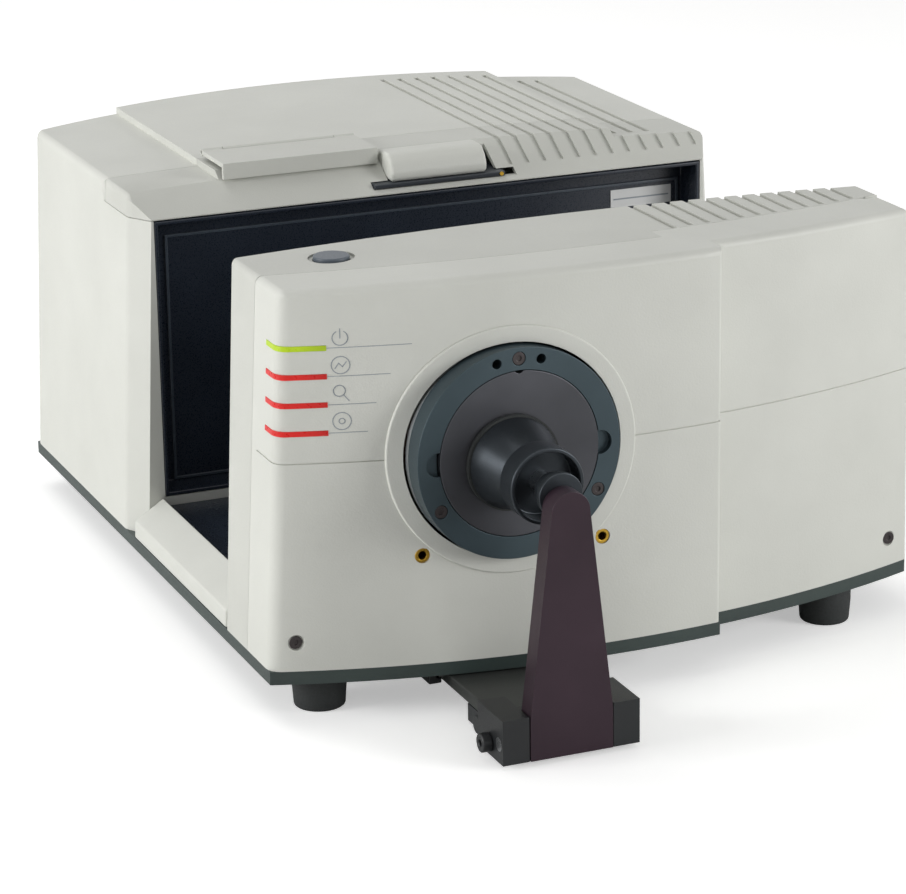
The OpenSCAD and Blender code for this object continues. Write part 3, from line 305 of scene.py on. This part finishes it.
def apply(obj, kind, **settings):
    """Adds one modifier with its settings and applies it."""
    pick(obj)
    modifier = obj.modifiers.new(kind.lower(), kind)
    for key, value in settings.items():
        setattr(modifier, key, value)
    bpy.ops.object.modifier_apply(modifier=modifier.name)


def wear(obj, material):
    """Gives obj one material in place of all that it has."""
    obj.data.materials.clear()
    obj.data.materials.append(material)


def solid_copy(node_name):
    """A copy of a CAD node as one clean solid, ready to be rounded."""
    obj = bpy.data.objects.new("dressed_" + node_name, NODES[node_name].data.copy())
    bpy.context.scene.collection.objects.link(obj)
    pick(obj)
    bpy.ops.mesh.customdata_custom_splitnormals_clear()
    bpy.ops.object.mode_set(mode="EDIT")
    bpy.ops.mesh.select_mode(type="VERT")
    bpy.ops.mesh.select_all(action="SELECT")
    bpy.ops.mesh.remove_doubles(threshold=2e-6)
    bpy.ops.mesh.dissolve_limited(angle_limit=math.radians(0.4))
    bpy.ops.object.mode_set(mode="OBJECT")
    return obj


def round_edges(obj, width_mm, choose=None, segments=3, clamp=True):
    """Rounds the sharp edges of obj. choose(middle, edge) gives a share of the width from 0 to 1."""
    shape = bmesh.new()
    shape.from_mesh(obj.data)
    layers = shape.edges.layers.float
    weight = layers.get("bevel_weight_edge") or layers.new("bevel_weight_edge")
    count = 0
    for edge in shape.edges:
        edge[weight] = 0.0
        if len(edge.link_faces) == 2 and edge.calc_face_angle(0) > math.radians(SHARP_DEG):
            middle = (edge.verts[0].co + edge.verts[1].co) / 2
            edge[weight] = choose(middle * 1000, edge) if choose else 1.0
            count += edge[weight] > 0
    shape.to_mesh(obj.data)
    shape.free()
    apply(
        obj, "BEVEL", width=width_mm / 1000, segments=segments, limit_method="WEIGHT",
        use_clamp_overlap=clamp)
    print(obj.name, "rounded", count, "edges")


def smooth(obj):
    """Smooth shading that stays crisp at real edges, with flat faces kept flat by their area."""
    pick(obj)
    bpy.ops.object.shade_smooth_by_angle(angle=math.radians(SMOOTH_DEG))
    apply(obj, "WEIGHTED_NORMAL", keep_sharp=True, weight=60)


def dressed(node_name, width_mm, segments=3, choose=None, clamp=True):
    """Replaces a CAD node by its own copy with rounded edges."""
    obj = solid_copy(node_name)
    round_edges(obj, width_mm, choose, segments, clamp)
    smooth(obj)
    wear(obj, WORN[SLOT_OF[node_name]])
    body = next(b for b, nodes in frame["record"]["behaviour"]["bodies"].items() if node_name in nodes)
    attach(obj, body)
    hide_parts(node_name)


# %% [markdown]
# ## Small pieces
# The tray, feet, port, clamp and compartment are pressed, turned, milled or moulded pieces, each
# with one edge break all over. The width is that of the real break: 0.3 mm on a screw head, 1 to
# 1.6 mm on milled clamp parts, and 2.5 mm on the slide's moulded handle.

# %% Small turned and milled pieces
for node_name, width_mm in (
    ("base_tray", 1.2), ("rubber_feet", 1.5), ("port_ring", 0.7), ("ring_screws", 0.3), ("port_plate", 0.5),
    ("cover_screws", 0.3), ("brass_inserts", 0.4), ("macro_button", 1.0), ("top_lid", 1.2),
    ("slide_handle", 2.5), ("filter_slide", 0.6), ("clamp_arm", 1.6), ("clamp_yoke", 1.5), ("clamp_screws", 0.8),
    ("clamp_carriage", 1.0), ("clamp_rails", 0.8), ("sample_cup", 0.8), ("plunger_guide", 0.5),
    ("sill_left", 1.5), ("sill_right", 1.5), ("compartment_pan", 0.8), ("frame_line", 0.5),
):
    dressed(node_name, width_mm)

# %% [markdown]
# ## Places on the covers
# The covers are too varied for one edge break, so their edges are rounded by place. Places are in
# millimetres on the case itself: X from its middle, Y from the line through its two front corners
# and Z from the top of the tray. The sizes are those of the CAD model.

# %% Places on the case
HALF_W, FRONT_BOW, BLOCK_D = 210.0, 38.0, 77.0
# How far the case's own zero lies from that of the shared frame
MID_Y, BASE_H = 197.0, 30.0
FRONT_R = (HALF_W ** 2 + FRONT_BOW ** 2) / (2 * FRONT_BOW)
# The right part of the front wall stands back behind a step
STEP_X, STEP_D = 58.0, 14.0
PORT_X, PORT_Z = -72.0, 123.8
SIDE_DRAFT = 0.05


def row(x, y, z):
    """A place on the case, in millimetres, as metres in the shared frame."""
    return Vector((x / 1000, (y - MID_Y) / 1000, (z + BASE_H) / 1000))


def front_y(x):
    """Where the front wall lies at x."""
    return FRONT_R - FRONT_BOW - math.sqrt(FRONT_R ** 2 - x * x) + (STEP_D if x > STEP_X else 0)


def side_x(z):
    """Just inside the side walls at height z. They lean in as they rise."""
    return HALF_W - SIDE_DRAFT * z - 2.5


print("front radius", round(FRONT_R), "mm")

# %% [markdown]
# ## Covers
# The covers are injection-moulded. Outer corners have radii of several millimetres, which make the
# case look soft, while seams, slots and grooves stay nearly sharp. Each function below gives the radius of
# an edge from its place. Hollow corners and the foot of each cover stay sharp. The bevel isn't
# clamped, because the short edges of slots would otherwise shrink it everywhere.

# %% Radii of the covers, in millimetres
WIDEST_R = 8.0
TOP_R = 4.6
BLOCK_TOP_Z, HOUSING_TOP_Z = 212, 205
FOOT_Z = 1


def share_of(radius_of):
    """Turns a radius by place into a share of the widest radius, as the bevel wants it."""
    def share(middle, edge):
        x, y, z = middle[0], middle[1] + MID_Y, middle[2] - BASE_H
        if z < FOOT_Z or not edge.is_convex:
            return 0.0
        upright = abs(edge.verts[0].co.z - edge.verts[1].co.z) > 0.9 * edge.calc_length()
        return radius_of(x, y, z, upright) / WIDEST_R
    return share


def fascia_radius(x, y, z, upright):
    """The front fascia: its port bezel, two outer corners, step and top edge."""
    if 72 < math.hypot(x - PORT_X, z - PORT_Z) < 74.6:
        return 1.0
    if upright and abs(x) > side_x(z) and y < 4:
        return 6.5
    if upright and abs(x - STEP_X) < 1.5 and y < front_y(STEP_X) + 4:
        return 2.6
    return TOP_R if z > BLOCK_TOP_Z and (y < front_y(x) + 2 or abs(x) > side_x(z)) else 0.0


def block_radius(x, y, z, upright):
    """The cover behind the fascia: its back corners and side edges, tighter where ribs end on the right."""
    if upright and abs(x) > side_x(z) and y > BLOCK_D - 2:
        return 3.0
    if z > BLOCK_TOP_Z and abs(x) > side_x(z):
        return TOP_R if x < 0 else 1.2
    return 0.0


def housing_radius(x, y, z, upright):
    """The rear housing and its trim: back corners, compartment mouth and top edges, tighter on the right."""
    if upright and y > 450 and abs(x) > 150:
        return 7.0
    if upright and y < 280 and abs(x) > side_x(z):
        return 2.4
    if z > HOUSING_TOP_Z and (y > 450 or -x > side_x(z)):
        return TOP_R
    return 1.5 if z > HOUSING_TOP_Z and x > side_x(z) else 0.0


def bar_radius(x, y, z, upright):
    """The light bars follow the fascia round its left corner."""
    return 6.5 if upright and -x > side_x(z) and y < 4 else 0.0


# %% Covers
for node_name, radius_of in (
    ("front_cover", fascia_radius), ("block_cover", block_radius), ("rear_cover", housing_radius),
    ("top_trim", housing_radius), ("light_bars", bar_radius),
):
    dressed(node_name, WIDEST_R, segments=4, choose=share_of(radius_of), clamp=False)

# %% [markdown]
# ## Printed lines and signs
# Grey ink on the fascia: a thin line leads right from each light bar, and a sign stands above it. Ink is
# too thin to model at its real height, so each stroke is a flat bar 0.12 mm proud of the wall. Long
# lines are cut into short ones, because one long bar would sink into the bowed wall.

# %% Printed lines and signs
INK_PROUD, INK_SUNK = 0.12, 0.3


def printed(name, strokes, width_mm):
    """Thin lines on the front wall. Each stroke is a list of (x, z) places on the case."""
    corners, faces = [], []
    for stroke in strokes:
        for (x0, z0), (x1, z1) in zip(stroke, stroke[1:]):
            along = Vector((x1 - x0, z1 - z0)).normalized() * width_mm / 2
            first = len(corners)
            for proud in (INK_PROUD, -INK_SUNK):
                for x, z, run, turn in ((x0, z0, -1, -1), (x1, z1, 1, -1), (x1, z1, 1, 1), (x0, z0, -1, 1)):
                    at_x, at_z = x + run * along.x - turn * along.y, z + run * along.y + turn * along.x
                    corners.append(row(at_x, front_y(at_x) - proud, at_z))
            for face in ((0, 1, 2, 3), (7, 6, 5, 4), (0, 4, 5, 1), (1, 5, 6, 2), (2, 6, 7, 3), (3, 7, 4, 0)):
                faces.append([first + corner for corner in face])
    mesh = bpy.data.meshes.new(name)
    mesh.from_pydata(corners, [], faces)
    obj = bpy.data.objects.new(name, mesh)
    bpy.context.scene.collection.objects.link(obj)
    wear(obj, PRINT)
    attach(obj, "root")
    print(name, "has", len(faces) // 6, "strokes")


def arc(x, z, radius, start, end, steps=20):
    """Places along an arc, with angles in degrees from the right."""
    turns = [math.radians(start + (end - start) * step / steps) for step in range(steps + 1)]
    return [(x + radius * math.cos(turn), z + radius * math.sin(turn)) for turn in turns]


def level(x0, x1, z, steps=10):
    """Places along a level line, close enough together to follow the bowed wall."""
    return [(x0 + (x1 - x0) * step / steps, z) for step in range(steps + 1)]


BAR_TIP_X = -174.5
BAR_Z = (190.5, 174.1, 157.7, 141.3)
LEADER_END_X = (-129, -141, -149, -154)
printed("printed_leaders", [level(BAR_TIP_X, end, z) for end, z in zip(LEADER_END_X, BAR_Z)], 0.4)

SIGN_X = -167.5
power_sign = [arc(SIGN_X, 196, 4.2, 120, 420), [(SIGN_X, 196), (SIGN_X, 201.2)]]
trace = [(SIGN_X - 3, 178.6), (SIGN_X - 1, 181.6), (SIGN_X + 1, 179.4), (SIGN_X + 3, 182.2)]
trace_sign = [arc(SIGN_X, 180.4, 5, 0, 360), trace]
glass_sign = [arc(SIGN_X - 1, 165.6, 3.2, 0, 360), [(SIGN_X + 1.2, 163.2), (SIGN_X + 4, 159.8)]]
ring_sign = [arc(SIGN_X, 148, 5, 0, 360), arc(SIGN_X, 148, 1.6, 0, 360, 12)]
printed("printed_signs", power_sign + trace_sign + glass_sign + ring_sign, 0.5)

# %% [markdown]
# ## Mark and divider
# A dab of yellow paint on the slide's front edge shows how far it is pushed in, so it rides on the
# slide. A fine ruled line divides the pale plate at the back of the compartment. Both are too
# small for more than a plain disc and a plain bar.

# %% Mark and divider
MARK_R, MARK_T = 0.0013, 0.0008
MARK_PLACE = row(47.5, 257.8, 208.7)
DIVIDER_PLACE = row(156, 277.35, 177.6)
DIVIDER_SIZE = (0.040, 0.0005, 0.0009)
bpy.ops.mesh.primitive_cylinder_add(
    radius=MARK_R, depth=MARK_T, vertices=24, location=MARK_PLACE, rotation=(math.pi / 2, 0, 0))
mark = bpy.context.object
mark.name = "slide_mark"
bpy.ops.mesh.primitive_cube_add(size=1, location=DIVIDER_PLACE, scale=DIVIDER_SIZE)
divider = bpy.context.object
divider.name = "label_divider"
for piece, material, body, slot_name in ((mark, MARK, "slide", "brass"), (divider, PRINT, "root", "label_pale")):
    pick(piece)
    bpy.ops.object.transform_apply(location=True, rotation=True, scale=True)
    wear(piece, material)
    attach(piece, body)
    print(piece.name, "rides on", body)

# %% [markdown]
# ## Floor
# The instrument stands on white paper. Its colour alone would render grey, so the camera alone sees it
# lit a little from within. The light on the instrument isn't changed by that, and its shadow stays.

# %% Floor
PAPER_GLOW = 0.42
bpy.ops.object.select_all(action="DESELECT")
bpy.ops.mesh.primitive_plane_add(size=12, location=(0, 0, 0))
floor = bpy.context.object
floor.name = "floor"
pick(floor)
bpy.ops.object.transform_apply(location=True, rotation=True, scale=True)
paper, paper_tree, paper_shader = shade("studio_floor", **{"Base Color": linear("#f7f7f6"), "Roughness": 0.9})
paper_rays = add(paper_tree, "ShaderNodeLightPath").outputs["Is Camera Ray"]
paper_glow = add(paper_tree, "ShaderNodeMath", {0: paper_rays}, operation="MULTIPLY", s1=PAPER_GLOW)
paper_shader.inputs["Emission Color"].default_value = linear("#ffffff")
paper_tree.links.new(paper_glow.outputs[0], paper_shader.inputs["Emission Strength"])
wear(floor, paper)

# %% [markdown]
# ## Lamps and world
# One large soft lamp stands far to the left, level with the side wall, and one to the front right, so
# the bowed front goes from dim on its left to bright on its right. A weak one above fills the tops.
# The world adds a low, even light, and looks white to the camera, to metal and through glass.

# %% Lamps and world
WORLD_LIGHT, WORLD_SEEN = 0.3, 1.0


def soft_lamp(name, place, aim, size, power):
    """A square area lamp at place that looks at aim."""
    bpy.ops.object.light_add(type="AREA", location=place)
    lamp = bpy.context.object
    lamp.name = name
    lamp.data.size = size
    lamp.data.energy = power
    lamp.rotation_euler = (Vector(aim) - Vector(place)).to_track_quat("-Z", "Y").to_euler()
    print(name, power, "W")


soft_lamp("key_left", (-3.2, 0.2, 0.95), (0, 0, 0.12), 1.3, 66)
soft_lamp("key_right", (2.5, -2.5, 1.0), (0, 0, 0.12), 1.5, 66)
soft_lamp("top_soft", (-0.6, 1.4, 2.4), (0, 0.1, 0.1), 1.6, 19)

world = bpy.data.worlds.new("studio")
bpy.context.scene.world = world
world.use_nodes = True
tree = world.node_tree
backdrop = tree.nodes["Background"]
backdrop.inputs["Color"].default_value = linear("#ffffff")
rays = add(tree, "ShaderNodeLightPath").outputs
seen = add(tree, "ShaderNodeMath", {0: rays["Is Camera Ray"], 1: rays["Is Glossy Ray"]}, operation="ADD")
shown = add(tree, "ShaderNodeMath", {0: seen.outputs[0], 1: rays["Is Transmission Ray"]}, operation="MAXIMUM")
strength = add(tree, "ShaderNodeMapRange", {"Value": shown.outputs[0]}, s3=WORLD_LIGHT, s4=WORLD_SEEN)
tree.links.new(strength.outputs[0], backdrop.inputs["Strength"])
bpy.context.scene.view_settings.view_transform = "Standard"
